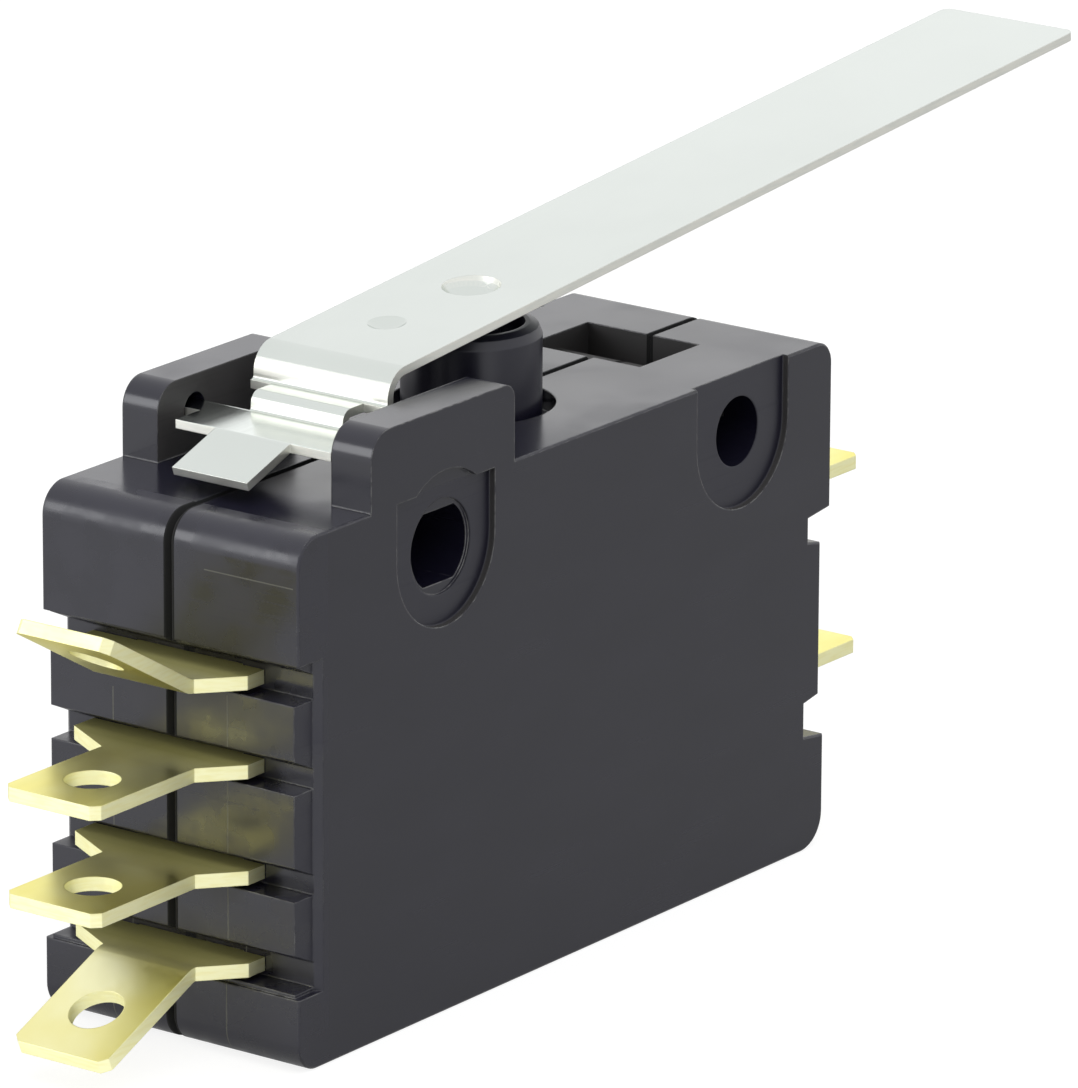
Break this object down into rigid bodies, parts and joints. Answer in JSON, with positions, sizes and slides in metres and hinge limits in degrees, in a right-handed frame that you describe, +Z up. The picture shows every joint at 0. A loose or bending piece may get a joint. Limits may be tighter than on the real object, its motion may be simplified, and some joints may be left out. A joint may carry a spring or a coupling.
{
  "type": "micro switch",
  "caption": "Double-pole snap-action micro switch: black two-part moulded housing, long flat hinge lever over a round plunger, flat brass solder tabs at both ends.",
  "frame": {"origin": "centre of the housing's flat bottom, on the seam between the two halves", "axes": "+Z up, the way the plunger points; the throw terminals point to -X, the common terminals and the lever's tip to +X; Y across the depth"},
  "size_m": [0.0905, 0.0176, 0.0412],
  "materials": {
    "housing": "black thermoset moulding, satin gloss",
    "plunger_plastic": "black moulding, satin gloss",
    "slider_plastic": "black moulding",
    "lever_steel": "nickel-plated steel, bright",
    "spring_steel": "bright spring wire",
    "terminal_brass": "rolled brass strip, bright sheared edges",
    "blade_bronze": "spring bronze strip",
    "silver": "silver contact rivet"
  },
  "bodies": {
    "housing": {"front_housing": "housing", "rear_housing": "housing", "plunger_spring": "spring_steel", "upper_nc_terminal": "terminal_brass", "upper_no_terminal": "terminal_brass", "upper_common_terminal": "terminal_brass", "lower_nc_terminal": "terminal_brass", "lower_no_terminal": "terminal_brass", "lower_common_terminal": "terminal_brass", "upper_nc_contact": "silver", "upper_no_contact": "silver", "lower_nc_contact": "silver", "lower_no_contact": "silver"},
    "lever": {"lever": "lever_steel"},
    "plunger": {"plunger": "plunger_plastic", "slider": "slider_plastic"},
    "upper_blade": {"upper_blade": "blade_bronze", "upper_moving_contact": "silver"},
    "lower_blade": {"lower_blade": "blade_bronze", "lower_moving_contact": "silver"},
    "upper_snap_spring": {"upper_snap_spring": "spring_steel"},
    "lower_snap_spring": {"lower_snap_spring": "spring_steel"}
  },
  "joints": [
    {"name": "lever_hinge", "type": "hinge", "parent": "housing", "child": "lever", "pos_m": [-0.0143, 0, 0.03235], "axis": [0, 1, 0], "range_deg": [0, 6.13], "stiffness_Nm_per_rad": 0.9, "springref_deg": -1.72},
    {"name": "plunger_slide", "type": "slide", "parent": "housing", "child": "plunger", "axis": [0, 0, -1], "range_m": [0, 0.0018], "deforming": ["plunger_spring"]},
    {"name": "upper_blade_rock", "type": "hinge", "parent": "housing", "child": "upper_blade", "pos_m": [-0.0025, 0, 0.0192], "axis": [0, -1, 0], "range_deg": [0, 4.05]},
    {"name": "upper_spring_swing", "type": "hinge", "parent": "plunger", "child": "upper_snap_spring", "pos_m": [0.00242, 0, 0.0201], "axis": [0, 1, 0], "range_deg": [0, 4.44]},
    {"name": "lower_blade_rock", "type": "hinge", "parent": "housing", "child": "lower_blade", "pos_m": [-0.0025, 0, 0.008], "axis": [0, -1, 0], "range_deg": [0, 4.05]},
    {"name": "lower_spring_swing", "type": "hinge", "parent": "plunger", "child": "lower_snap_spring", "pos_m": [0.00242, 0, 0.0089], "axis": [0, 1, 0], "range_deg": [0, 4.44]}
  ],
  "couplings": [
    {"joint": "plunger_slide", "follows": "lever_hinge", "m_per_rad": 0.0168},
    {"joint": "upper_blade_rock", "follows": "lever_hinge", "ratio": 0.66},
    {"joint": "upper_spring_swing", "follows": "lever_hinge", "ratio": 0.724},
    {"joint": "lower_blade_rock", "follows": "lever_hinge", "ratio": 0.66},
    {"joint": "lower_spring_swing", "follows": "lever_hinge", "ratio": 0.724}
  ]
}
